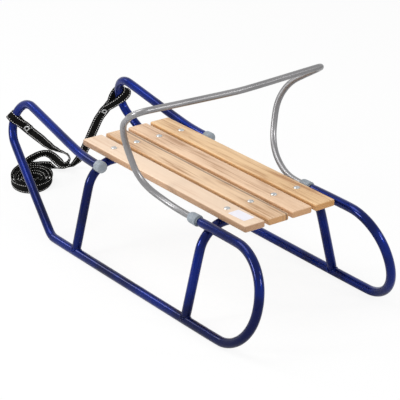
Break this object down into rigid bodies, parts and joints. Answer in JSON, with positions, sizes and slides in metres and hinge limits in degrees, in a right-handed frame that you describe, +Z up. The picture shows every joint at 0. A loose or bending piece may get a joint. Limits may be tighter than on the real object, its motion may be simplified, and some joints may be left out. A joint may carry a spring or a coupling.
{
  "type": "metal sled",
  "caption": "Bent-tube sled with wooden slats, a plug-in backrest hoop and a webbing pull strap.",
  "frame": {"origin": "middle of the sled's footprint on the ground, without the pull strap", "axes": "+X towards the horns, +Y to the rider's left, +Z up"},
  "size_m": [1.131, 0.4884, 0.4411],
  "materials": {
    "blue_tube": "glossy blue paint with a metallic depth",
    "silver_tube": "silver-grey paint, satin",
    "slat_wood": "clear varnish",
    "grey_plastic": "moulded grey",
    "webbing": "woven black webbing with white stitching",
    "eyelet_metal": "nickel plate"
  },
  "bodies": {
    "frame": {"side_frame_left": "blue_tube", "side_frame_right": "blue_tube", "front_arch": "blue_tube", "rear_arch": "blue_tube", "slat_1": "slat_wood", "slat_2": "slat_wood", "slat_3": "slat_wood", "slat_4": "slat_wood", "hoop_collar_left": "grey_plastic", "hoop_collar_right": "grey_plastic", "front_cap_left": "grey_plastic", "front_cap_right": "grey_plastic", "strap_loop_left": "webbing", "strap_loop_right": "webbing", "strap_eyelet_left": "eyelet_metal", "strap_eyelet_right": "eyelet_metal", "strap_run_left": "webbing", "strap_run_right": "webbing", "strap_roll": "webbing"},
    "backrest": {"backrest_hoop": "silver_tube"}
  },
  "joints": [
    {"name": "backrest_plug", "type": "slide", "parent": "frame", "child": "backrest", "axis": [1, 0, 0], "range_m": [0, 0.055]}
  ]
}
